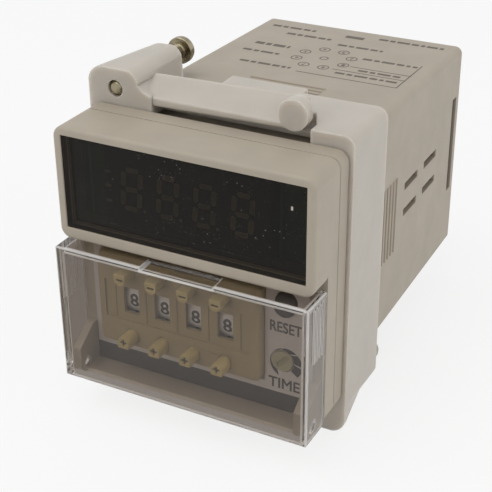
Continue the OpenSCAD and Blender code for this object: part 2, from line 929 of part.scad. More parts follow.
module contact_pins() {
    tail = 2;
    tip = 0.6;
    color("#c8c6bf")
        pin_places() {
            rod_y(0, 0, y_plug - plug_t - tail, y_plug + disc_t, pin_d / 2 + pin_root);
            rod_y(0, 0, y_plug + disc_t - eps, y_plug + pin_l - tip, pin_d / 2);
            translate([0, y_plug + pin_l, 0])
                rotate([90, 0, 0])
                    cylinder(h = tip + eps, r1 = pin_d / 2 - tip, r2 = pin_d / 2);
        }
}

// Clamp bracket: frame, two screw bosses and two sprung ratchet arms, the same turned half round.
module boss() {
    front_r = 3;
    rear_r = 3.8;
    inner_r = 2.4;
    inner_side = boss_side + 0.1;
    taper = 2.2;
    end_l = 1;
    hull()
        for (end = [[bracket_start, 0, front_r], [boss_l - end_l, taper, rear_r]])
            along_y(end[0], end[0] + end_l) {
                translate([-bracket_w / 2 + end[1] + end[2], boss_top - end[2]])
                    circle(end[2], $fn = hull_fn);
                translate([-screw_x + inner_side - inner_r, boss_top - inner_r])
                    circle(inner_r, $fn = hull_fn);
                translate([-bracket_w / 2 + end[1], bracket_hole / 2])
                    square([bracket_w / 2 - end[1] - screw_x + inner_side, end_l]);
            }
}

module ratchet_arm() {
    arm_front = 0.4;
    arm_face = 1.95;
    arm_rise = 0.8;
    arm_r = 0.5;
    knob_rear_r = 1.9;
    tongue_t = 1.5;
    tongue_gap = 0.45;
    tongue_z = body_size / 2 + rib_h + tongue_gap;
    tooth = 0.3;
    top = arm_z + arm_h;
    hull()
        for (end = [[-screw_x, 0], [knob_x, arm_rise]], p = [
            [arm_front + arm_r, arm_z + arm_r + end[1]],
            [arm_front + arm_r, arm_z + arm_face - arm_r],
            [arm_rear - arm_r, top - arm_r + end[1]],
            [arm_rear - arm_r, arm_z + arm_r + end[1]]])
            along_x(end[0], end[0] + eps)
                translate(p)
                    circle(arm_r, $fn = 16);
    hull() {
        along_y(bracket_start, bracket_start + knob_l)
            translate([knob_x, arm_z + arm_rise + knob_r])
                circle(knob_r, $fn = hull_fn);
        along_y(arm_rear - 0.4, arm_rear - 0.3)
            translate([knob_x - knob_r / 2, arm_z + arm_rise + knob_rear_r + 0.1])
                circle(knob_rear_r, $fn = hull_fn);
    }
    along_y(bracket_start, arm_rear - 0.2)
        polygon([
            [-screw_x, arm_z + 0.2],
            [-screw_x, boss_top - 0.3],
            [-screw_x + 1.7, boss_top - 0.4],
            [-screw_x + 2.9, boss_top - 1.3],
            [-screw_x + 4.2, boss_top - 2.4],
            [-screw_x + 5.6, boss_top - 3.4],
            [-screw_x + arm_root, arm_z + arm_face],
            [-screw_x + arm_root, arm_z + 0.2]]);
    along_x(-rib_l / 2, rib_l / 2)
        polygon([
            [arm_rear - 1, arm_z + 0.3],
            [arm_rear - 0.1, top - 0.8],
            [arm_rear + 2.4, tongue_z + tongue_t],
            [tongue_end, tongue_z + tongue_t],
            [tongue_end, tongue_z - tooth],
            [tongue_end - 0.8, tongue_z - tooth],
            [tongue_end - 1.4, tongue_z],
            [arm_rear + 0.6, tongue_z]]);
}

// Room for the sprung arm and its end knob, from the front to this depth and from this height up.
module arm_room(depth, height) {
    side = knob_x + knob_r + 0.4;
    bend = knob_l + 0.3;
    slope = 0.45;
    root = -screw_x + arm_root;
    translate([0, 0, height])
        linear_extrude(boss_top)
            polygon([
                [root, -over], [side, -over], [side, bend],
                [side - slope * (depth - bend), depth], [root, depth]]);
}

module mounting_bracket() {
    frame_r = 2;
    tongue_slot = rib_l / 2 + 0.7;
    bar_front = 4;
    bar_rear = 5.5;
    room_rear = arm_rear + 0.4;
    hole = bracket_hole / 2;
    color("#e6e3dc") {
        difference() {
            union() {
                along_y(bracket_start, bracket_l)
                    round_rect([-bracket_w / 2, bracket_w / 2], [-bracket_h / 2, bracket_h / 2], frame_r);
                for (a = [0, 180])
                    rotate([0, a, 0])
                        boss();
            }
            slab([-hole, hole], [-over, boss_l + over], [-hole, hole]);
            for (a = [0, 180])
                rotate([0, a, 0]) {
                    arm_room(room_rear, hole + arm_floor);
                    arm_room(bar_front, hole - over);
                    slab(
                        [-screw_x + boss_side, tongue_slot], [room_rear - eps, boss_l + over],
                        [hole + arm_floor, boss_top + over]);
                    slab(
                        [-tongue_slot, tongue_slot], [bar_rear, bracket_l + over],
                        [hole - over, boss_top]);
                    rod_y(-screw_x, screw_z, -over, boss_l + over, screw_r + screw_clear);
                }
        }
        for (a = [0, 180])
            rotate([0, a, 0])
                difference() {
                    ratchet_arm();
                    rod_y(-screw_x, screw_z, -over, boss_l + over, screw_r + screw_clear);
                }
    }
}

module clamp_screw(a) {
    tip = 0.5;
    tip_y = 0.2;
    head_y = tip_y + screw_l;
    dome_r = screw_head_r * 1.5;
    cross_l = 2.6;
    cross_w = 0.6;
    cross_d = 1.2;
    color("#b9a878")
        rotate([0, a, 0])
            translate([-screw_x, 0, screw_z])
                difference() {
                    union() {
                        rod_y(0, 0, tip_y + tip, head_y + eps, screw_r);
                        translate([0, tip_y + tip + eps, 0])
                            rotate([90, 0, 0])
                                cylinder(h = tip + eps, r1 = screw_r, r2 = screw_r - tip);
                        intersection() {
                            rod_y(0, 0, head_y, head_y + screw_head_h, screw_head_r);
                            translate([0, head_y + screw_head_h - dome_r, 0])
                                sphere(dome_r);
                        }
                    }
                    for (t = [0, 90])
                        rotate([0, t, 0])
                            slab(
                                [-cross_l / 2, cross_l / 2],
                                [head_y + screw_head_h - cross_d, head_y + screw_head_h + over],
                                [-cross_w / 2, cross_w / 2]);
                }
}

case();
front_bezel();
display_window();
front_cover();
name_plate();
switch_housing();
wheel_axle();
for (i = [0:3]) {
    digit_wheel(i);
    key(i, 1);
    key(i, -1);
}
reset_button();
time_adjuster();
mounting_bracket();
clamp_screw(0);  // clamp_screw_top
clamp_screw(180);  // clamp_screw_bottom
plug_base();
contact_pins();
switch_board();
display_board();
led_digits();
control_board();
reset_switch();
trimmer_body();
logic_board();
controller_chip();
relay();
power_board();
transformer();
capacitors();
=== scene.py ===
# %% [markdown]
# # Panel counter: the looks
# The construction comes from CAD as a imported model, and stays where it is. This lesson gives the
# counter its finishes and its softened edges, its print, its numerals and its light.

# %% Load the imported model
import json
import math

import bmesh
import bpy
from mathutils import Matrix, Vector

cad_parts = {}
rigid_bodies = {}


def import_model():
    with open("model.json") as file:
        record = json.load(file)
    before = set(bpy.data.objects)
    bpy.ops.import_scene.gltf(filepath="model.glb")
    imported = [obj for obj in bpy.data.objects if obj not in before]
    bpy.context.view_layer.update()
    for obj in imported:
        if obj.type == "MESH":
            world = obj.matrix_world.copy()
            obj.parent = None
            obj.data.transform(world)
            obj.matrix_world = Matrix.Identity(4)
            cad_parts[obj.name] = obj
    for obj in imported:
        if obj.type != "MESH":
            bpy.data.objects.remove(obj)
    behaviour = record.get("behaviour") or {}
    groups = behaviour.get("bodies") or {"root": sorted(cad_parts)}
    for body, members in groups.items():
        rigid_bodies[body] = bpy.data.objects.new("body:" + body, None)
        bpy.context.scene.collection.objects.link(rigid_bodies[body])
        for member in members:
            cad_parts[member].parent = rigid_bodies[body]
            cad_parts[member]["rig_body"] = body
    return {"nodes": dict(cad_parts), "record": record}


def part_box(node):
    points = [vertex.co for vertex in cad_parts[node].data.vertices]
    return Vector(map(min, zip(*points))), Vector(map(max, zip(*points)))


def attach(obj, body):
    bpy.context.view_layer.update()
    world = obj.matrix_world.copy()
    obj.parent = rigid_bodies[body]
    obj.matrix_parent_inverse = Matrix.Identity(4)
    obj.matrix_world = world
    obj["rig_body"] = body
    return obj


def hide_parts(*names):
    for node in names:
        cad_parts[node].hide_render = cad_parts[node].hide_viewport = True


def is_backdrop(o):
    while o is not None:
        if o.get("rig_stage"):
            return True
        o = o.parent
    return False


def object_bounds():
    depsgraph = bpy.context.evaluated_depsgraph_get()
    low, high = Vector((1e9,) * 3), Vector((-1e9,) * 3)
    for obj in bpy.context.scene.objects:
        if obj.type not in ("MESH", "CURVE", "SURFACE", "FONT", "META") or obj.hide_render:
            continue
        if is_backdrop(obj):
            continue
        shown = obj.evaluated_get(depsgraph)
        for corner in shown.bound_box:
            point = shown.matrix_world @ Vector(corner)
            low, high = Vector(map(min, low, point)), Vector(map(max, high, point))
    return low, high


MM = 0.001
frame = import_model()
nodes = frame["nodes"]
cad_low, cad_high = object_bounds()
print("nodes:", len(nodes), "size in mm:", [round(v / MM, 1) for v in cad_high - cad_low])

# %% [markdown]
# ## Camera
# The photograph looks down on the front from the right. A camera could be aimed by eye, but the
# square front has a known size, so the angle, the distance and the lens were worked out from its
# corners. The camera is turned by its own three directions, which also holds the small roll.

# %% Camera at the photograph's angle
VIEW_AZIMUTH = math.radians(27.94)
VIEW_ELEVATION = math.radians(28.2)
VIEW_ROLL = math.radians(-0.49)
CAMERA_RIGHT, CAMERA_UP, CAMERA_BACK = 4.85 * MM, 1.17 * MM, 212.18 * MM
FOCAL_PIXELS = 1223.7
FRAME_PIXELS = 492
SENSOR_WIDTH = 36
NEAREST = 10 * MM

level = math.cos(VIEW_ELEVATION)
view_back = Vector((
    math.sin(VIEW_AZIMUTH) * level, -math.cos(VIEW_AZIMUTH) * level, math.sin(VIEW_ELEVATION)))
flat_right = Vector((math.cos(VIEW_AZIMUTH), math.sin(VIEW_AZIMUTH), 0))
flat_up = view_back.cross(flat_right)
view_right = flat_right * math.cos(VIEW_ROLL) + flat_up * math.sin(VIEW_ROLL)
view_up = flat_up * math.cos(VIEW_ROLL) - flat_right * math.sin(VIEW_ROLL)
bpy.ops.object.camera_add()
camera = bpy.context.object
camera.data.sensor_width = SENSOR_WIDTH
camera.data.lens = FOCAL_PIXELS / FRAME_PIXELS * SENSOR_WIDTH
camera.data.clip_start = NEAREST
camera.matrix_world = (
    Matrix.Translation(view_right * CAMERA_RIGHT + view_up * CAMERA_UP + view_back * CAMERA_BACK)
    @ Matrix((view_right, view_up, view_back)).transposed().to_4x4())
bpy.context.scene.camera = camera
print("lens in mm:", round(camera.data.lens, 1))

# %% [markdown]
# ## Floor, background and light
# The counter stands in plain soft light on white. One big lamp overhead would leave the front in
# shade, so weaker ones light the front and the right side, and an even sky lights the rest. The
# background is white only for the camera and for reflections, so it adds no light to the counter.
# Clear plastic shows a flat grey glow in its place, as in the photograph: painted shade that stands
# in for a table in shadow.


# %% Floor, sky and lamps
def seen_directly(tree):
    """A number that is 1 for what the camera or a reflection sees."""
    path = tree.nodes.new("ShaderNodeLightPath")
    larger = tree.nodes.new("ShaderNodeMath")
    larger.operation = "MAXIMUM"
    tree.links.new(path.outputs["Is Camera Ray"], larger.inputs[0])
    tree.links.new(path.outputs["Is Glossy Ray"], larger.inputs[1])
    return larger.outputs[0]


SKY_LEVEL = 0.5
FLOOR_GLOW = 0.8
FLOOR_SIZE = 4
FLOOR_WHITE = (0.9, 0.9, 0.9, 1)
SHADED_TABLE_GREY = (0.33, 0.305, 0.285, 1)
scene = bpy.context.scene
scene.view_settings.view_transform = "Standard"
scene.world = bpy.data.worlds.new("studio")
scene.world.use_nodes = True
sky = scene.world.node_tree
sky.nodes["Background"].inputs["Color"].default_value = (1, 1, 1, 1)
brightness = sky.nodes.new("ShaderNodeMapRange")
brightness.inputs["To Min"].default_value = SKY_LEVEL
brightness.inputs["To Max"].default_value = 1
sky.links.new(seen_directly(sky), brightness.inputs["Value"])
sky.links.new(brightness.outputs["Result"], sky.nodes["Background"].inputs["Strength"])

bpy.ops.mesh.primitive_plane_add(size=FLOOR_SIZE, location=(0, 0, cad_low.z))
floor = bpy.context.object
floor.name = "floor"
floor.data.materials.append(bpy.data.materials.new("white_floor"))
floor.data.materials[0].use_nodes = True
ground = floor.data.materials[0].node_tree
white = ground.nodes["Principled BSDF"]
white.inputs["Base Color"].default_value = FLOOR_WHITE
white.inputs["Roughness"].default_value = 1
glow = ground.nodes.new("ShaderNodeEmission")
share = ground.nodes.new("ShaderNodeMath")
share.operation = "MULTIPLY"
share.inputs[1].default_value = FLOOR_GLOW
blend = ground.nodes.new("ShaderNodeMixShader")
ground.links.new(seen_directly(ground), share.inputs[0])
ground.links.new(share.outputs[0], blend.inputs["Fac"])
ground.links.new(white.outputs[0], blend.inputs[1])
ground.links.new(glow.outputs[0], blend.inputs[2])
# Painted shade: rays through clear plastic see the floor glow a flat grey
painted_table_shade = ground.nodes.new("ShaderNodeEmission")
painted_table_shade.inputs["Color"].default_value = SHADED_TABLE_GREY
through = ground.nodes.new("ShaderNodeMixShader")
path = ground.nodes.new("ShaderNodeLightPath")
ground.links.new(path.outputs["Is Transmission Ray"], through.inputs["Fac"])
ground.links.new(blend.outputs[0], through.inputs[1])
ground.links.new(painted_table_shade.outputs[0], through.inputs[2])
ground.links.new(through.outputs[0], ground.nodes["Material Output"].inputs["Surface"])
floor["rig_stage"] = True

AIM = Vector((0, 0.02, 0))
# Each lamp has its place and its size in metres, and its power in watts
LAMPS = {
    "overhead_lamp": ((-0.15, -0.10, 0.55), 0.45, 1.15),
    "front_lamp": ((-0.25, -0.60, 0.20), 0.40, 0.55),
    "side_lamp": ((0.60, 0.05, 0.22), 0.40, 0.85),
}
for name, (place, size, power) in LAMPS.items():
    bpy.ops.object.light_add(type="AREA", location=place)
    lamp = bpy.context.object
    lamp.name = name
    lamp.data.size = size
    lamp.data.energy = power
    lamp.rotation_euler = (AIM - Vector(place)).to_track_quat("-Z", "Y").to_euler()
print("lamps:", len(LAMPS))

# %% [markdown]
# ## Finishes
# Most of the counter is moulded plastic. A flat colour looks like paper, because real mouldings
# have a fine spark texture, a faint mottle and an uneven gloss. All three come from noise on the
# Object coordinates, at sizes in millimetres, so a pattern keeps its scale on every piece.


# %% Helpers for finishes
def paint(red, green, blue):
    """Screen colour, 0 to 255, as the linear colour of a shader."""
    shares = [value / 255 for value in (red, green, blue)]
    linear = [s / 12.92 if s < 0.04 else ((s + 0.055) / 1.055) ** 2.4 for s in shares]
    return (*linear, 1)


def start_finish(name, rough):
    """Material with its node tree and its main shader."""
    finish = bpy.data.materials.new(name)
    finish.use_nodes = True
    shader = finish.node_tree.nodes["Principled BSDF"]
    shader.inputs["Roughness"].default_value = rough
    return finish, finish.node_tree, shader


def object_place(tree):
    """Object coordinates in metres."""
    return tree.nodes.new("ShaderNodeTexCoord").outputs["Object"]


def noise(tree, size):
    """Noise with features of about this size in millimetres."""
    node = tree.nodes.new("ShaderNodeTexNoise")
    node.inputs["Scale"].default_value = 1 / (size * MM)
    node.inputs["Detail"].default_value = 3
    tree.links.new(object_place(tree), node.inputs["Vector"])
    return node.outputs["Fac"]


def spread(tree, value, low, high, start=0.3, end=0.7):
    """A pattern's values from start to end, mapped to low to high."""
    node = tree.nodes.new("ShaderNodeMapRange")
    for socket, number in zip(("From Min", "From Max", "To Min", "To Max"), (start, end, low, high)):
        node.inputs[socket].default_value = number
    tree.links.new(value, node.inputs["Value"])
    return node.outputs["Result"]


def blend_colours(tree, share, first, second):
    """Mix of two colours, each a colour or the socket of another mix."""
    node = tree.nodes.new("ShaderNodeMix")
    node.data_type = "RGBA"
    tree.links.new(share, node.inputs["Factor"])
    for socket, colour in ((node.inputs[6], first), (node.inputs[7], second)):
        if isinstance(colour, tuple):
            socket.default_value = colour
        else:
            tree.links.new(colour, socket)
    return node.outputs[2]


def scaled(colour, factor):
    """A colour made lighter or darker."""
    return (*[min(value * factor, 1) for value in colour[:3]], 1)


def add_bump(tree, shader, height, depth):
    """Bump of this depth in millimetres."""
    node = tree.nodes.new("ShaderNodeBump")
    node.inputs["Strength"].default_value = 1
    node.inputs["Distance"].default_value = depth * MM
    tree.links.new(height, node.inputs["Height"])
    tree.links.new(node.outputs["Normal"], shader.inputs["Normal"])


CLOUD, SHEEN, GRAIN = 6, 1.5, 0.25
UNEVEN = 0.06


def moulded(name, colour, rough=0.5, depth=0.012, mottle=0.05):
    """Moulded plastic: mottled colour, uneven gloss and a fine grain of this depth."""
    finish, tree, shader = start_finish(name, rough)
    cloud = spread(tree, noise(tree, CLOUD), 0, 1)
    tones = blend_colours(tree, cloud, scaled(colour, 1 - mottle), scaled(colour, 1 + mottle))
    gloss = spread(tree, noise(tree, SHEEN), rough - UNEVEN, rough + UNEVEN)
    tree.links.new(tones, shader.inputs["Base Color"])
    tree.links.new(gloss, shader.inputs["Roughness"])
    add_bump(tree, shader, noise(tree, GRAIN), depth)
    return finish


print("helpers ready")

# %% [markdown]
# The plastics differ in colour, gloss and grain: a sparked beige case, a satin switch, a smooth
# key, and a milky bracket in which light travels a little, which a subsurface share gives.

# %% Plastic finishes
finishes = {
    "case_plastic": moulded("case_plastic", paint(172, 162, 147), rough=0.55, depth=0.02),
    "bezel_plastic": moulded("bezel_plastic", paint(173, 163, 147), rough=0.5, depth=0.02),
    "switch_khaki": moulded("switch_khaki", paint(170, 155, 119), rough=0.5, depth=0.003),
    "key_khaki": moulded("key_khaki", paint(204, 187, 133), rough=0.4, depth=0.003),
    "wheel_white": moulded("wheel_white", paint(238, 236, 233), rough=0.45, depth=0.003, mottle=0.02),
    "reset_dark": moulded("reset_dark", paint(50, 46, 43), rough=0.4, depth=0.006),
    "rotor_green": moulded("rotor_green", paint(168, 165, 134), rough=0.35, depth=0.003),
    "bracket_white": moulded(
        "bracket_white", paint(193, 186, 176), rough=0.42, depth=0.006, mottle=0.03),
    "plug_dark": moulded("plug_dark", paint(52, 48, 45), rough=0.45),
    "numeral_dark": moulded("numeral_dark", paint(20, 18, 17), rough=0.4, depth=0.004),
    "part_black": moulded("part_black", paint(40, 40, 43), rough=0.45),
    "core_steel": moulded("core_steel", paint(112, 106, 98), rough=0.5),
    "can_sleeve": moulded("can_sleeve", paint(70, 76, 98), rough=0.3, depth=0.002),
}
milky = finishes["bracket_white"].node_tree.nodes["Principled BSDF"]
milky.inputs["Subsurface Weight"].default_value = 0.85
milky.inputs["Subsurface Radius"].default_value = (1.0, 0.9, 0.8)
milky.inputs["Subsurface Scale"].default_value = 2.5 * MM
print("plastics:", len(finishes))

# %% [markdown]
# The metals are plated screws, nickel pins and a steel axle. A metal's colour is its reflection,
# so its detail is in the roughness: fine scratches and tarnish from two sizes of noise. The circuit
# boards have a lacquer over copper tracks, which a brick pattern shows well enough behind the vents.

# %% Metal and board finishes
STAIN, SCRATCH = 1.2, 0.3
TRACK_PITCH = 9


def metal(name, colour, rough, tarnish):
    """Plated metal with stains of a darker colour and an uneven gloss."""
    finish, tree, shader = start_finish(name, rough)
    shader.inputs["Metallic"].default_value = 1
    stain = spread(tree, noise(tree, STAIN), 0, 1, 0.45, 0.75)
    gloss = spread(tree, noise(tree, SCRATCH), rough - 0.08, rough + 0.1)
    tree.links.new(blend_colours(tree, stain, colour, tarnish), shader.inputs["Base Color"])
    tree.links.new(gloss, shader.inputs["Roughness"])
    return finish


def lacquered_board(name):
    """Green lacquer over a pattern of tracks."""
    finish, tree, shader = start_finish(name, 0.35)
    tracks = tree.nodes.new("ShaderNodeTexBrick")
    tracks.inputs["Scale"].default_value = 1 / (TRACK_PITCH * MM)
    tracks.inputs["Mortar Size"].default_value = 0.03
    tracks.inputs["Color1"].default_value = paint(38, 92, 56)
    tracks.inputs["Color2"].default_value = paint(33, 84, 50)
    tracks.inputs["Mortar"].default_value = paint(84, 130, 84)
    tree.links.new(object_place(tree), tracks.inputs["Vector"])
    tree.links.new(tracks.outputs["Color"], shader.inputs["Base Color"])
    add_bump(tree, shader, noise(tree, 0.5), 0.01)
    return finish


finishes["screw_plated"] = metal("screw_plated", paint(158, 149, 126), 0.28, paint(112, 102, 80))
finishes["pin_nickel"] = metal("pin_nickel", paint(205, 202, 194), 0.25, paint(168, 160, 146))
finishes["axle_steel"] = metal("axle_steel", paint(190, 190, 190), 0.3, paint(160, 158, 154))
finishes["board_green"] = lacquered_board("board_green")
print("finishes so far:", len(finishes))

# %% [markdown]
# The display window is smoked plastic: dark enough to hide the unlit numerals, but not quite. Each
# of its two faces is a tinted see-through shader under a thin gloss. Specks of dust lie on it, as
# small discs round scattered points, and a second noise leaves most of the points clean. The cover
# is clear plastic with a tint, and its edges get a paler, less clear copy of that finish: a painted
# highlight for the light that a clear moulding gathers there.

# %% See-through finishes
SMOKE_TINT = (0.45, 0.415, 0.36, 1)
WINDOW_INDEX, WINDOW_ROUGH = 1.27, 0.04
COVER_INDEX, COVER_ROUGH = 1.35, 0.04
# The cover's edges get a paler, less clear finish: a painted highlight
COVER_TINT, EDGE_HIGHLIGHT_TINT = (0.64, 0.60, 0.565, 1), (0.86, 0.84, 0.82, 1)
COVER_CLEAR, EDGE_HIGHLIGHT_CLEAR = 0.97, 0.45
COVER_SHADE = (0.88, 0.87, 0.85, 1)
# Each dust has the sizes of its cells, its specks and its patches in millimetres
FINE_DUST, COARSE_DUST = (0.75, 0.065, 3.0), (1.7, 0.11, 5.0)
PATCH_START, PATCH_END = 0.53, 0.66


def gloss_over(tree, under, index, rough):
    """Thin gloss on a shader, stronger at a low angle."""
    gloss = tree.nodes.new("ShaderNodeBsdfGlossy")
    gloss.inputs["Roughness"].default_value = rough
    edge = tree.nodes.new("ShaderNodeFresnel")
    edge.inputs["IOR"].default_value = index
    top = tree.nodes.new("ShaderNodeMixShader")
    tree.links.new(edge.outputs[0], top.inputs["Fac"])
    tree.links.new(under, top.inputs[1])
    tree.links.new(gloss.outputs[0], top.inputs[2])
    return top.outputs[0]


def dust_specks(tree, cell, size, patch):
    """1 on scattered specks of dust in patches, 0 elsewhere; sizes in millimetres.
    The points lie in the plane of the window, so that it cuts each disc in its middle."""
    apart = tree.nodes.new("ShaderNodeSeparateXYZ")
    tree.links.new(object_place(tree), apart.inputs[0])
    upright = tree.nodes.new("ShaderNodeCombineXYZ")
    tree.links.new(apart.outputs["X"], upright.inputs["X"])
    tree.links.new(apart.outputs["Z"], upright.inputs["Y"])
    points = tree.nodes.new("ShaderNodeTexVoronoi")
    points.voronoi_dimensions = "2D"
    points.inputs["Scale"].default_value = 1 / (cell * MM)
    tree.links.new(upright.outputs[0], points.inputs["Vector"])
    disc = spread(tree, points.outputs["Distance"], 1, 0, size / cell * 0.6, size / cell)
    here = spread(tree, noise(tree, patch), 0, 1, PATCH_START, PATCH_END)
    both = tree.nodes.new("ShaderNodeMath")
    both.operation = "MULTIPLY"
    tree.links.new(disc, both.inputs[0])
    tree.links.new(here, both.inputs[1])
    return both.outputs[0]


def smoked(name):
    """Smoked plastic with dust on it."""
    finish, tree, shader = start_finish(name, 0.9)
    shader.inputs["Base Color"].default_value = paint(120, 115, 106)
    tint = tree.nodes.new("ShaderNodeBsdfTransparent")
    tint.inputs["Color"].default_value = SMOKE_TINT
    glossy = gloss_over(tree, tint.outputs[0], WINDOW_INDEX, WINDOW_ROUGH)
    dusty = tree.nodes.new("ShaderNodeMixShader")
    larger = tree.nodes.new("ShaderNodeMath")
    larger.operation = "MAXIMUM"
    tree.links.new(dust_specks(tree, *FINE_DUST), larger.inputs[0])
    tree.links.new(dust_specks(tree, *COARSE_DUST), larger.inputs[1])
    tree.links.new(larger.outputs[0], dusty.inputs["Fac"])
    tree.links.new(glossy, dusty.inputs[1])
    tree.links.new(shader.outputs[0], dusty.inputs[2])
    tree.links.new(dusty.outputs[0], tree.nodes["Material Output"].inputs["Surface"])
    return finish


def clear_moulding(name, colour, clear):
    """Clear plastic with a tint; the share that isn't clear is milky. It casts a pale shadow."""
    finish, tree, shader = start_finish(name, 0.02)
    shader.inputs["Base Color"].default_value = colour
    shader.inputs["Transmission Weight"].default_value = clear
    shader.inputs["IOR"].default_value = COVER_INDEX
    tree.links.new(spread(tree, noise(tree, 4), 0, COVER_ROUGH), shader.inputs["Roughness"])
    add_bump(tree, shader, noise(tree, 9), 0.01)
    path = tree.nodes.new("ShaderNodeLightPath")
    open_air = tree.nodes.new("ShaderNodeBsdfTransparent")
    open_air.inputs["Color"].default_value = COVER_SHADE
    lit = tree.nodes.new("ShaderNodeMixShader")
    tree.links.new(path.outputs["Is Shadow Ray"], lit.inputs["Fac"])
    tree.links.new(shader.outputs[0], lit.inputs[1])
    tree.links.new(open_air.outputs[0], lit.inputs[2])
    tree.links.new(lit.outputs[0], tree.nodes["Material Output"].inputs["Surface"])
    return finish


finishes["smoked_window"] = smoked("smoked_window")
finishes["clear_cover"] = clear_moulding("clear_cover", COVER_TINT, COVER_CLEAR)
# Painted highlight: the paler finish for the cover's round edges
painted_edge_highlight = clear_moulding("cover_edge_highlight", EDGE_HIGHLIGHT_TINT, EDGE_HIGHLIGHT_CLEAR)
print("finishes with the see-through ones:", len(finishes))

# %% [markdown]
# The name plate is a satin sheet, light grey with a dark band along its lower edge. The band is
# print on the same sheet, so it belongs in the finish: a step on the height gives it a sharp edge.

# %% Printed sheet
BAND_TOP, BAND_EDGE = -19.4, 0.02
sheet, tree, shader = start_finish("plate_sheet", 0.45)
axes = tree.nodes.new("ShaderNodeSeparateXYZ")
tree.links.new(object_place(tree), axes.inputs[0])
in_band = spread(
    tree, axes.outputs["Z"], 1, 0, (BAND_TOP - BAND_EDGE) * MM, (BAND_TOP + BAND_EDGE) * MM)
grey = blend_colours(tree, noise(tree, 0.4), paint(200, 194, 190), paint(208, 202, 198))
tree.links.new(blend_colours(tree, in_band, grey, paint(66, 60, 57)), shader.inputs["Base Color"])
add_bump(tree, shader, noise(tree, 0.5), 0.0008)
finishes["plate_sheet"] = sheet
ink = moulded("dark_ink", paint(66, 60, 60), rough=0.5, depth=0.002, mottle=0.08)
case_ink = moulded("case_ink", paint(96, 88, 80), rough=0.6, depth=0.002, mottle=0.12)
unlit = moulded("unlit_segment", paint(166, 166, 152), rough=0.5, depth=0.004, mottle=0.12)
flake_white = moulded("flake_white", paint(190, 184, 172), rough=0.7, depth=0.004, mottle=0.1)
print("finishes:", len(finishes), "and four for print, segments and dust")

# %% [markdown]
# Every CAD node gets the finish of its material slot first. The ones that show closely are then
# copied with softened edges below, and the copies keep the same finish.

# %% Finish for every CAD node
slot_of = {part["node"]: part["material_slot"] for part in frame["record"]["subparts"]}
body_of = {name: node["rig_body"] for name, node in nodes.items()}
for name, node in nodes.items():
    node.data.materials.clear()
    node.data.materials.append(finishes[slot_of[name]])
print("dressed nodes:", len(nodes))

# %% [markdown]
# ## Softened mouldings
# A moulding has no sharp edges: each has a small radius that catches a line of light. A bump could
# fake that, but the outline and the meshes would stay sharp, so each visible node is copied, its
# loose triangles are merged into whole faces, and a Bevel modifier rounds the edges. The cover's
# round edges get the paler edge finish, a painted highlight, apart from the rear of its finger
# scoop, and the floors of the signs let into the keys' fronts are coloured dark.

# %% Copies with round edges
MERGE_WITHIN = 0.0005 * MM
FLAT_WITHIN = math.radians(0.4)
ROUND_ABOVE = math.radians(30)


def only(piece):
    """Selects one object and makes it the active one."""
    bpy.ops.object.select_all(action="DESELECT")
    piece.select_set(True)
    bpy.context.view_layer.objects.active = piece


def apply_modifiers(piece):
    """Applies a piece's modifiers in their order."""
    only(piece)
    for modifier in list(piece.modifiers):
        bpy.ops.object.modifier_apply(modifier=modifier.name)


def flat_shading(piece, angle=35):
    """Smooth shading in which the large faces keep their own direction."""
    only(piece)
    bpy.ops.object.mode_set(mode="EDIT")
    bpy.ops.mesh.select_all(action="SELECT")
    bpy.ops.mesh.quads_convert_to_tris(ngon_method="BEAUTY")
    bpy.ops.object.mode_set(mode="OBJECT")
    bpy.ops.object.shade_smooth_by_angle(angle=math.radians(angle))
    weighted = piece.modifiers.new("weighted normals", "WEIGHTED_NORMAL")
    weighted.keep_sharp = True
    weighted.weight = 100
    apply_modifiers(piece)


def carry(piece, name, body="base"):
    """Names a finished piece and lets it move with its body."""
    piece.name = name
    piece.data.name = name
    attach(piece, body)
    return piece


def mark_edges(mesh, shortest, places):
    """Marks the edges to round: sharp ones that are longer than the shortest length.
    An edge with both ends in one of the places gets that place's share of the radius."""
    shape = bmesh.new()
    shape.from_mesh(mesh)
    weight = shape.edges.layers.float.new("bevel_weight_edge")
    for edge in shape.edges:
        if edge.calc_length() > shortest * MM and edge.calc_face_angle(0) > ROUND_ABOVE:
            edge[weight] = 1
            for here, share in places:
                if all(here(point.co / MM) for point in edge.verts):
                    edge[weight] = share
    shape.to_mesh(mesh)
    shape.free()


def soft_copy(node, name, radius, steps=3, shortest=0.0, edge_finish=None, places=()):
    """Copy of a CAD node with merged faces and round edges, in the node's place."""
    piece = bpy.data.objects.new(name, nodes[node].data.copy())
    scene.collection.objects.link(piece)
    only(piece)
    bpy.ops.mesh.customdata_custom_splitnormals_clear()
    bpy.ops.object.mode_set(mode="EDIT")
    bpy.ops.mesh.select_all(action="SELECT")
    bpy.ops.mesh.remove_doubles(threshold=MERGE_WITHIN)
    bpy.ops.mesh.dissolve_limited(angle_limit=FLAT_WITHIN)
    bpy.ops.object.mode_set(mode="OBJECT")
    mark_edges(piece.data, shortest, places)
    bevel = piece.modifiers.new("round edges", "BEVEL")
    bevel.width = radius * MM
    bevel.segments = steps
    bevel.limit_method = "WEIGHT"
    bevel.use_clamp_overlap = False
    bevel.loop_slide = False
    if edge_finish:
        piece.data.materials.append(edge_finish)
        bevel.material = 1
    apply_modifiers(piece)
    flat_shading(piece)
    carry(piece, name, body_of[node])
    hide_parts(node)
    return piece


GRIP_DEPTH, GRIP_LENGTH, GRIP_INSET, GRIP_SHARE = 0.4, 11.5, 0.2, 0.4
SCOOP_HALF, SCOOP_BELOW, SCOOP_BEHIND = 6.6, 0.9, 1.5
SIGN_NEAR, SIGN_FAR = 0.1, 0.4
cover_low, cover_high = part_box("front_cover")
grip_x, grip_end = cover_high.x / MM - GRIP_DEPTH, cover_high.z / MM - GRIP_LENGTH
cover_front, cover_rear = cover_low.y / MM, cover_high.y / MM


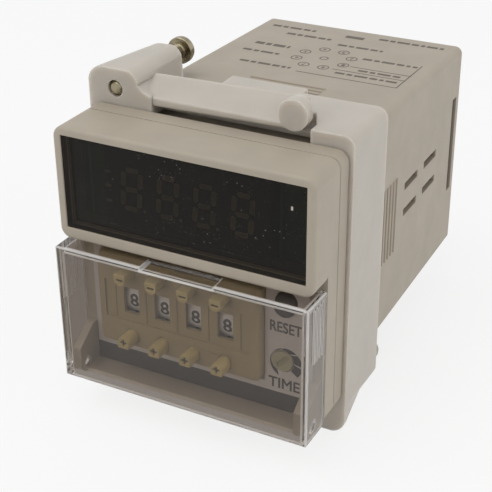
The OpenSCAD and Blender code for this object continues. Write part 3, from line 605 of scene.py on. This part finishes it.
def on_grips(p):
    """Tells whether a point lies on the grip ribs at the cover's sides."""
    between = cover_front + GRIP_INSET < p.y < cover_rear - GRIP_INSET
    return abs(p.x) > grip_x and p.z > grip_end and between


soft = {
    "case": soft_copy("case", "case_shell", 0.15),
    "front_bezel": soft_copy("front_bezel", "bezel_moulding", 0.15, shortest=0.7),
    "front_cover": soft_copy(
        "front_cover", "cover_moulding", 0.3, edge_finish=painted_edge_highlight,
        places=((on_grips, GRIP_SHARE),)),
    "switch_housing": soft_copy("switch_housing", "switch_front", 0.08, 2),
    "mounting_bracket": soft_copy("mounting_bracket", "bracket_moulding", 0.3, shortest=0.7),
    "reset_button": soft_copy("reset_button", "reset_cap", 0.15),
    "time_adjuster": soft_copy("time_adjuster", "time_dial", 0.12),
    "plug_base": soft_copy("plug_base", "plug_moulding", 0.15),
}
# The rear of the finger scoop goes back from the painted edge highlight to the clear finish
for face in soft["front_cover"].data.polygons:
    x, y, z = face.center / MM
    near_top = z > cover_high.z / MM - SCOOP_BELOW
    if abs(x) < SCOOP_HALF and near_top and y > cover_front + SCOOP_BEHIND:
        face.material_index = 0
# The floor of each sign let into a key's front is coloured dark brown
dark_sign_floor = moulded("dark_sign_floor", paint(84, 74, 52), rough=0.6, depth=0.004, mottle=0.1)
for number in range(1, 5):
    for sign in ("minus", "plus"):
        node = f"{sign}_button_{number}"
        key = soft_copy(node, f"{sign}_key_{number}", 0.12, 2)
        key.data.materials.append(dark_sign_floor)
        key_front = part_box(node)[0].y
        for face in key.data.polygons:
            below = (face.center.y - key_front) / MM
            if face.normal.y < -0.9 and SIGN_NEAR < below < SIGN_FAR:
                face.material_index = 1
        soft[node] = key
print({name: len(piece.data.polygons) for name, piece in soft.items()})

# %% [markdown]
# ## Numerals behind the smoked window
# The counter shows four seven-segment numerals, which are off. On the real block each segment is a
# pale bar with pointed ends, let into black. A numeral could be one outline, but seven equal bars
# are what it really is, so one bar is shaped from a six-sided plate and set seven times. A small
# pale flake lies on the window.


# %% Helpers for new pieces
def pick(piece, test):
    """In edit mode, selects the points whose place in millimetres passes a test."""
    bpy.ops.mesh.select_all(action="DESELECT")
    shape = bmesh.from_edit_mesh(piece.data)
    for point in shape.verts:
        point.select = test(point.co / MM)
    shape.select_flush_mode()
    bmesh.update_edit_mesh(piece.data)


def settle(piece):
    """Puts a piece's place, turn and size into its mesh."""
    only(piece)
    bpy.ops.object.transform_apply(location=True, rotation=True, scale=True)


def join(pieces):
    """Joins pieces into the first one."""
    only(pieces[0])
    for piece in pieces:
        piece.select_set(True)
    bpy.ops.object.join()
    return pieces[0]


def twin(piece):
    """A copy with its own mesh."""
    only(piece)
    bpy.ops.object.duplicate()
    return bpy.context.object


def coat(piece, finish):
    """Gives a piece one finish in place of its own."""
    piece.data.materials.clear()
    piece.data.materials.append(finish)


def thicken(piece, thick):
    """Gives a flat piece in the XY plane this thickness, upwards."""
    only(piece)
    bpy.ops.object.mode_set(mode="EDIT")
    bpy.ops.mesh.select_all(action="SELECT")
    bpy.ops.mesh.extrude_region_move(TRANSFORM_OT_translate={"value": (0, 0, thick * MM)})
    bpy.ops.mesh.select_all(action="SELECT")
    bpy.ops.mesh.normals_make_consistent(inside=False)
    bpy.ops.object.mode_set(mode="OBJECT")


FRONT = (math.radians(90), 0, 0)
SINK = 0.01 * MM


def stroke(length, width):
    """Flat bar with pointed ends along Y, at the origin."""
    radius = width / 2 / math.cos(math.radians(30))
    bpy.ops.object.select_all(action="DESELECT")
    bpy.ops.mesh.primitive_circle_add(vertices=6, radius=radius * MM, fill_type="NGON")
    piece = bpy.context.object
    bpy.ops.object.mode_set(mode="EDIT")
    for side in (1, -1):
        pick(piece, lambda p: p.y * side > 0.01)
        bpy.ops.transform.translate(value=(0, side * (length / 2 - radius) * MM, 0))
    bpy.ops.object.mode_set(mode="OBJECT")
    return piece


print("helpers for pieces ready")

# %% Seven-segment numerals
DIGIT_PITCH, DIGIT_MID = 6.9, 14.2
BAR_ACROSS, BAR_UP, BAR_THICK, BAR_GAP = 3.25, 3.52, 0.95, 0.75
SLANT = math.radians(4.5)
DOT_LONG, DOT_WIDE, DOT_BESIDE = 0.62, 0.55, 0.75
MARK_LONG, MARK_WIDE, MARK_X = 1.3, 0.6, -14.9
MARK_HEIGHTS = (16.7, 14.1, 11.3)
SEGMENT_THICK = 0.06
FLAKE_LONG, FLAKE_WIDE, FLAKE_THICK = 0.75, 0.35, 0.02
FLAKE_X, FLAKE_Z = 19.9, 18.4


def numeral():
    """One numeral of seven bars and a point, leaning a little, in the XY plane."""
    bars = []
    for row in (-1, 0, 1):
        bar = stroke(BAR_ACROSS - BAR_GAP, BAR_THICK)
        bar.rotation_euler.z = math.radians(90)
        bar.location = (row * BAR_UP * math.tan(SLANT) * MM, row * BAR_UP * MM, 0)
        bars.append(bar)
    for half in (-0.5, 0.5):
        for side in (-0.5, 0.5):
            bar = stroke(BAR_UP - BAR_GAP, BAR_THICK)
            bar.rotation_euler.z = -SLANT
            lean = half * BAR_UP * math.tan(SLANT)
            bar.location = ((side * BAR_ACROSS + lean) * MM, half * BAR_UP * MM, 0)
            bars.append(bar)
    dot = stroke(DOT_LONG, DOT_WIDE)
    dot.location = ((BAR_ACROSS / 2 + DOT_BESIDE) * MM, -BAR_UP * MM, 0)
    bars.append(dot)
    for bar in bars:
        settle(bar)
    return join(bars)


first = numeral()
thicken(first, SEGMENT_THICK)
digits = [first] + [twin(first) for _ in range(3)]
marks = []
for height in MARK_HEIGHTS:
    mark = stroke(MARK_LONG, MARK_WIDE)
    mark.rotation_euler.z = math.radians(90)
    settle(mark)
    thicken(mark, SEGMENT_THICK)
    mark.location = (MARK_X * MM, 0, height * MM)
    marks.append(mark)
for place, piece in enumerate(digits):
    piece.location = ((place - 1.5) * DIGIT_PITCH * MM, 0, DIGIT_MID * MM)
for piece in digits + marks:
    piece.location.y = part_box("led_digits")[0].y + SINK
    piece.rotation_euler = FRONT
    settle(piece)
segments = carry(join(digits + marks), "display_segments")
coat(segments, unlit)
flake = stroke(FLAKE_LONG, FLAKE_WIDE)
thicken(flake, FLAKE_THICK)
flake.location = (FLAKE_X * MM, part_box("display_window")[0].y, FLAKE_Z * MM)
flake.rotation_euler = FRONT
settle(flake)
carry(flake, "window_flake")
coat(flake, flake_white)
print("numeral faces:", len(segments.data.polygons))

# %% [markdown]
# ## Labels and the time scale
# Beside the switch, the sheet names the key and the dial in dark capitals, and a scale of five dark
# steps grows round the dial. The words are text made into a thin mesh. The scale starts as a ring:
# its outer edge is moved off centre, which makes it grow, and then the gaps are deleted.

# %% Words and scale on the sheet
PRINT_THICK, LETTER_DEPTH = 0.03, 10
WORD_WIDE, WORD_HIGH, WORD_BOLD = 5.9, 2.1, 0.035
WORDS = {"RESET": (16.95, -6.33), "TIME": (16.7, -17.5)}
SCALE_INNER, SCALE_OUTER, SCALE_SHIFT, SCALE_TOWARD = 2.15, 3.0, 0.75, -30
SCALE_GAPS = ((352, 357), (38, 43), (92, 97), (140, 143), (250, 318))


def lettering(words, width, height, thick=PRINT_THICK, bold=0.0, curve_steps=4):
    """Words as a thin mesh in the XY plane, this wide and high, centred at the origin.
    Thick ones are made deep first, so that bold ones grow evenly, and then pressed flat."""
    bpy.ops.object.select_all(action="DESELECT")
    bpy.ops.object.text_add()
    piece = bpy.context.object
    piece.data.body = words
    piece.data.resolution_u = curve_steps
    if not thick:
        piece.data.offset = bold
    bpy.ops.object.convert(target="MESH")
    if thick:
        thicken(piece, LETTER_DEPTH)
    only(piece)
    bpy.ops.object.mode_set(mode="EDIT")
    bpy.ops.mesh.select_all(action="SELECT")
    if bold and thick:
        bpy.ops.transform.shrink_fatten(value=bold)
    points = [point.co for point in bmesh.from_edit_mesh(piece.data).verts]
    low = Vector([min(p[axis] for p in points) for axis in range(3)])
    high = Vector([max(p[axis] for p in points) for axis in range(3)])
    size = high - low
    bpy.ops.transform.translate(value=(-(low.x + high.x) / 2, -(low.y + high.y) / 2, -low.z))
    flat = thick * MM / size.z if thick else 1
    bpy.ops.transform.resize(
        value=(width * MM / size.x, height * MM / size.y, flat), center_override=(0, 0, 0))
    bpy.ops.object.mode_set(mode="OBJECT")
    return piece


def growing_scale(inner, outer, shift, toward, gaps):
    """Ring whose outer edge is shifted, without the parts in the gaps; angles in degrees."""
    bpy.ops.object.select_all(action="DESELECT")
    bpy.ops.mesh.primitive_circle_add(vertices=120, radius=inner * MM)
    piece = bpy.context.object
    bpy.ops.object.mode_set(mode="EDIT")
    bpy.ops.mesh.select_all(action="SELECT")
    bpy.ops.mesh.extrude_edges_move()
    bpy.ops.transform.resize(value=(outer / inner, outer / inner, 1))
    away = math.radians(toward)
    bpy.ops.transform.translate(value=(shift * math.cos(away) * MM, shift * math.sin(away) * MM, 0))
    shape = bmesh.from_edit_mesh(piece.data)
    for face in shape.faces:
        middle = face.calc_center_median()
        angle = math.degrees(math.atan2(middle.y, middle.x)) % 360
        face.select = any(start <= angle <= end for start, end in gaps)
    bpy.ops.mesh.select_mode(type="FACE")
    bmesh.update_edit_mesh(piece.data)
    bpy.ops.mesh.delete(type="FACE")
    bpy.ops.mesh.select_mode(type="VERT")
    bpy.ops.object.mode_set(mode="OBJECT")
    return piece


def middle_of(node):
    """Middle of a CAD node's box."""
    low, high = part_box(node)
    return (low + high) / 2


labels = []
for words, (x, z) in WORDS.items():
    word = lettering(words, WORD_WIDE, WORD_HIGH, bold=WORD_BOLD)
    word.location = (x * MM, 0, z * MM)
    labels.append(word)
scale = growing_scale(SCALE_INNER, SCALE_OUTER, SCALE_SHIFT, SCALE_TOWARD, SCALE_GAPS)
thicken(scale, PRINT_THICK)
dial = middle_of("time_adjuster")
scale.location = (dial.x, 0, dial.z)
labels.append(scale)
for piece in labels:
    piece.location.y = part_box("name_plate")[0].y + SINK
    piece.rotation_euler = FRONT
    settle(piece)
plate_print = carry(join(labels), "plate_print")
coat(plate_print, ink)
print("plate print faces:", len(plate_print.data.polygons))

# %% [markdown]
# ## Numbers on the drums
# Each white drum carries the numbers 0 to 9, and the window shows one. A number could lie flat, but
# then it would cut into the round drum, so each is made as text, cut fine, and laid on the drum with
# a Shrinkwrap modifier. The drum is small, so the numbers beside the shown one stand a little wider
# than the rest and stay out of sight. One drum is lettered, and the other three get copies.

# %% Drum numbers
SHOWN = 8
NUMBER_WIDE, ONE_WIDE, NUMBER_HIGH, NUMBER_BOLD = 1.75, 0.9, 2.65, 0.025
DOWN_ANGLE, NEXT_ANGLE = 3, 46
STEP_ANGLE = (360 - 2 * NEXT_ANGLE) / 8
LEFT_OF_MIDDLE, BEFORE_DRUM, ABOVE_DRUM = 0.15, 0.3, 0.012
drum = middle_of("digit_wheel_1")
drum_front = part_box("digit_wheel_1")[0].y
front_line = Vector((drum.x - LEFT_OF_MIDDLE * MM, drum_front - BEFORE_DRUM * MM, drum.z))
first_drum = []
for number in range(10):
    wide = ONE_WIDE if number == 1 else NUMBER_WIDE
    figure = lettering(str(number), wide, NUMBER_HIGH, thick=0, bold=NUMBER_BOLD, curve_steps=3)
    only(figure)
    bpy.ops.object.mode_set(mode="EDIT")
    bpy.ops.mesh.select_all(action="SELECT")
    bpy.ops.mesh.subdivide(number_cuts=3)
    bpy.ops.object.mode_set(mode="OBJECT")
    figure.location = front_line
    figure.rotation_euler = FRONT
    settle(figure)
    wrap = figure.modifiers.new("lay on drum", "SHRINKWRAP")
    wrap.target = nodes["digit_wheel_1"]
    wrap.wrap_method = "PROJECT"
    wrap.use_project_y = True
    wrap.use_positive_direction = True
    wrap.offset = ABOVE_DRUM * MM
    apply_modifiers(figure)
    after = (number - SHOWN) % 10
    angle = NEXT_ANGLE + STEP_ANGLE * (after - 1) if after else 0
    turn = Matrix.Rotation(math.radians(angle + DOWN_ANGLE), 4, "X")
    figure.matrix_world = Matrix.Translation(drum) @ turn @ Matrix.Translation(-drum)
    settle(figure)
    first_drum.append(figure)
lettered = join(first_drum)
coat(lettered, ink)
rings = [lettered] + [twin(lettered) for _ in range(3)]
for number, piece in enumerate(rings, 1):
    node = f"digit_wheel_{number}"
    piece.location = middle_of(node) - drum
    settle(piece)
    carry(piece, f"wheel_numbers_{number}", body_of[node])
print("faces on each drum:", len(lettered.data.polygons))

# %% [markdown]
# ## Clamp screws
# The two screws that pull the bracket tight are plated pan heads with a cross recess. The CAD solid
# has plain cylinders, and a thread could be a bump, but its outline shows beside the boss. A core is
# spun from its profile, a four-sided ridge runs up it with a Screw modifier, and a cross is cut.

# %% Threaded screws
CORE, CREST, THREAD = 1.17, 1.45, 0.5
HEAD_HEIGHT = 2.3
THREAD_START, THREAD_ENDS = 0.45, 1.1
RIDGE_ROOT, RIDGE_FOOT, RIDGE_TIP = CORE - 0.06, 0.19, 0.04
RECESS_SIZE, RECESS_TAPER, RECESS_TURN = (2.5, 0.62, 2.4), (0.35, 0.7, 1), 20
screw_low, screw_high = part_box("clamp_screw_top")
screw_length = (screw_high.y - screw_low.y) / MM
head_radius = (screw_high.x - screw_low.x) / 2 / MM
under_head = screw_length - HEAD_HEIGHT
shank = [
    (0, 0), (CORE - 0.25, 0), (CORE, 0.25), (CORE, under_head - 0.5), (CREST, under_head - 0.3),
    (CREST, under_head)]
head = [
    (head_radius - 0.12, under_head), (head_radius, under_head + 0.12),
    (head_radius, under_head + 1.1), (head_radius - 0.12, under_head + 1.5),
    (head_radius - 0.45, under_head + 1.9), (head_radius - 0.95, screw_length - 0.12),
    (head_radius - 1.6, screw_length), (0, screw_length)]
profile = shank + head
bpy.ops.object.select_all(action="DESELECT")
bpy.ops.mesh.primitive_circle_add(vertices=len(profile), radius=MM)
core = bpy.context.object
bpy.ops.object.mode_set(mode="EDIT")
outline = bmesh.from_edit_mesh(core.data)
outline.verts.ensure_lookup_table()
for point, (across, along) in zip(outline.verts, profile):
    point.co = Vector((across, 0, along)) * MM
closing = [edge for edge in outline.edges if all(abs(point.co.x) < 1e-9 for point in edge.verts)]
bmesh.ops.delete(outline, geom=closing, context="EDGES")
bmesh.update_edit_mesh(core.data)
bpy.ops.mesh.select_all(action="SELECT")
bpy.ops.mesh.spin(steps=48, angle=math.radians(360), center=(0, 0, 0), axis=(0, 0, 1))
bpy.ops.mesh.select_all(action="SELECT")
bpy.ops.mesh.remove_doubles(threshold=0.001 * MM)
bpy.ops.mesh.normals_make_consistent(inside=False)
bpy.ops.object.mode_set(mode="OBJECT")

cutter_arms = []
for quarter in (0, 90):
    bpy.ops.object.select_all(action="DESELECT")
    bpy.ops.mesh.primitive_cube_add(size=1, location=(0, 0, screw_length * MM))
    arm = bpy.context.object
    arm.scale = Vector(RECESS_SIZE) * MM
    settle(arm)
    bpy.ops.object.mode_set(mode="EDIT")
    pick(arm, lambda p: p.z < screw_length)
    bpy.ops.transform.resize(value=RECESS_TAPER, center_override=(0, 0, 0))
    bpy.ops.object.mode_set(mode="OBJECT")
    arm.rotation_euler.z = math.radians(quarter + RECESS_TURN)
    settle(arm)
    cutter_arms.append(arm)
for arm in cutter_arms:
    cut = core.modifiers.new("recess", "BOOLEAN")
    cut.operation = "DIFFERENCE"
    cut.object = arm
    cut.solver = "EXACT"
apply_modifiers(core)
for arm in cutter_arms:
    bpy.data.objects.remove(arm)

bpy.ops.object.select_all(action="DESELECT")
bpy.ops.mesh.primitive_circle_add(vertices=4, radius=MM, fill_type="NGON")
ridge = bpy.context.object
bpy.ops.object.mode_set(mode="EDIT")
outline = bmesh.from_edit_mesh(ridge.data)
outline.verts.ensure_lookup_table()
section = (
    (RIDGE_ROOT, -RIDGE_FOOT), (CREST, -RIDGE_TIP), (CREST, RIDGE_TIP), (RIDGE_ROOT, RIDGE_FOOT))
for point, (across, along) in zip(outline.verts, section):
    point.co = Vector((across, 0, along + THREAD_START)) * MM
bmesh.ops.delete(outline, geom=outline.faces[:], context="FACES_ONLY")
bmesh.update_edit_mesh(ridge.data)
bpy.ops.object.mode_set(mode="OBJECT")
coil = ridge.modifiers.new("thread", "SCREW")
coil.axis = "Z"
coil.screw_offset = THREAD * MM
turns = int((under_head - THREAD_ENDS) / THREAD)
coil.iterations = turns
coil.steps = 24
coil.render_steps = 24
coil.use_smooth_shade = False
apply_modifiers(ridge)
only(ridge)
bpy.ops.object.mode_set(mode="EDIT")
bpy.ops.mesh.select_all(action="SELECT")
bpy.ops.mesh.fill_holes(sides=4)
bpy.ops.mesh.select_all(action="SELECT")
bpy.ops.mesh.normals_make_consistent(inside=False)
bpy.ops.object.mode_set(mode="OBJECT")
screw = join([core, ridge])
coat(screw, finishes["screw_plated"])
flat_shading(screw, 40)
for piece, node in ((twin(screw), "clamp_screw_bottom"), (screw, "clamp_screw_top")):
    middle = middle_of(node)
    piece.rotation_euler.x = math.radians(-90)
    piece.location = (middle.x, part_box(node)[0].y, middle.z)
    settle(piece)
    carry(piece, f"{node}_threaded", body_of[node])
    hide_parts(node)
print("turns of thread:", turns, "faces:", len(screw.data.polygons))

# %% [markdown]
# ## Print on the case
# The top of the case carries a wiring diagram: eight numbered pins on a circle, with lines to them,
# and rows of small print. Here the numbered pins and lines are drawn, and each row of small print is
# a row of plain blocks. It all lies on the sloping top, so it is drawn flat, then tilted. Places
# are in millimetres, across the case and back from its flange.

# %% Wiring diagram on the case
LINE = 0.22
DIAGRAM_Y, DIAGRAM_RADIUS = 43.1, 5.3
PIN_RING, KEY_RING = 1.15, 0.9
PIN_NUMBER_WIDE, PIN_NUMBER_HIGH = 0.7, 1.1
LINES_ACROSS = ((-1.7, 18.4, 34), (6.4, 18.6, 41), (3.9, 18.6, 38.2))
LINE_BACK = (18.4, 34, 47.4)
BOX = (-1.7, 2.2, 56.9, 58.3)
# Each row of small print has its two ends, how far back it lies, and its height
ROWS = (
    (-18.2, -8.2, 57.8, 1.0), (-13.2, -3.0, 54.1, 1.0), (5.0, 18.6, 58.9, 1.0),
    (-16.2, -8.7, 46, 1.3), (-16.6, -8.8, 41.3, 0.9), (-14, -3.3, 35, 0.9), (-1, 8.5, 52, 0.9),
    (6.8, 17.9, 46.2, 0.9), (8.6, 17, 39.6, 0.8), (5.2, 17.5, 36.6, 0.8))
ROW_LENGTHS, ROW_GAP, ROW_SHORTEST = (1.9, 1.1, 2.6, 1.5, 0.8, 2.2), 0.45, 0.4
CASE_TOP, CASE_DROP, CASE_DEPTH = 22.4, 1.0, 62
CASE_PRINT_THICK, CASE_PRINT_LIFT = 0.02, 0.002


def block(x_from, x_to, y_from, y_to):
    """Flat print from one corner to the other, in the XY plane."""
    bpy.ops.object.select_all(action="DESELECT")
    middle = ((x_from + x_to) / 2 * MM, (y_from + y_to) / 2 * MM, 0)
    bpy.ops.mesh.primitive_plane_add(size=1, location=middle)
    piece = bpy.context.object
    piece.scale = (abs(x_to - x_from) * MM, abs(y_to - y_from) * MM, 1)
    settle(piece)
    return piece


def ring(x, y, radius, line):
    """Flat printed ring."""
    bpy.ops.object.select_all(action="DESELECT")
    bpy.ops.mesh.primitive_circle_add(vertices=32, radius=radius * MM, location=(x * MM, y * MM, 0))
    piece = bpy.context.object
    bpy.ops.object.mode_set(mode="EDIT")
    bpy.ops.mesh.select_all(action="SELECT")
    bpy.ops.mesh.extrude_edges_move()
    share = (radius - line) / radius
    bpy.ops.transform.resize(value=(share, share, 1), center_override=(x * MM, y * MM, 0))
    bpy.ops.object.mode_set(mode="OBJECT")
    settle(piece)
    return piece


def small_print(x_from, x_to, y, height):
    """Row of blocks in place of a row of words."""
    row = []
    x = x_from
    while x < x_to - ROW_SHORTEST:
        end = min(x + ROW_LENGTHS[len(row) % len(ROW_LENGTHS)], x_to)
        row.append(block(x, end, y - height / 2, y + height / 2))
        x = end + ROW_GAP
    return row


flat_print = []
for pin in range(8):
    angle = math.radians(22.5 + 45 * pin)
    x, y = DIAGRAM_RADIUS * math.cos(angle), DIAGRAM_Y + DIAGRAM_RADIUS * math.sin(angle)
    flat_print.append(ring(x, y, PIN_RING, LINE))
    pin_number = str((pin + 1) % 8 + 1)
    figure = lettering(pin_number, PIN_NUMBER_WIDE, PIN_NUMBER_HIGH, thick=0, curve_steps=2)
    figure.rotation_euler.z = math.radians(180)
    figure.location = (x * MM, y * MM, 0)
    settle(figure)
    flat_print.append(figure)
flat_print.append(ring(0, DIAGRAM_Y, KEY_RING, LINE))
for x_from, x_to, y in LINES_ACROSS:
    flat_print.append(block(x_from, x_to, y - LINE / 2, y + LINE / 2))
x, y_from, y_to = LINE_BACK
flat_print.append(block(x - LINE / 2, x + LINE / 2, y_from, y_to))
flat_print.append(block(*BOX))
for row in ROWS:
    flat_print.extend(small_print(*row))
case_print = join(flat_print)
thicken(case_print, CASE_PRINT_THICK)
case_print.rotation_euler.x = -math.atan(CASE_DROP / CASE_DEPTH)
case_print.location.z = (CASE_TOP + CASE_PRINT_LIFT) * MM
settle(case_print)
carry(case_print, "case_print")
coat(case_print, case_ink)
print("case print faces:", len(case_print.data.polygons))

# %% [markdown]
# ## Size
# The dressed part should fill the same box as the construction.

# %% Print how far the sizes differ
low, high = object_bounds()
for corner, difference in (("low", low - cad_low), ("high", high - cad_high)):
    print(corner, "corner differs by mm:", [round(v / MM, 2) for v in difference])
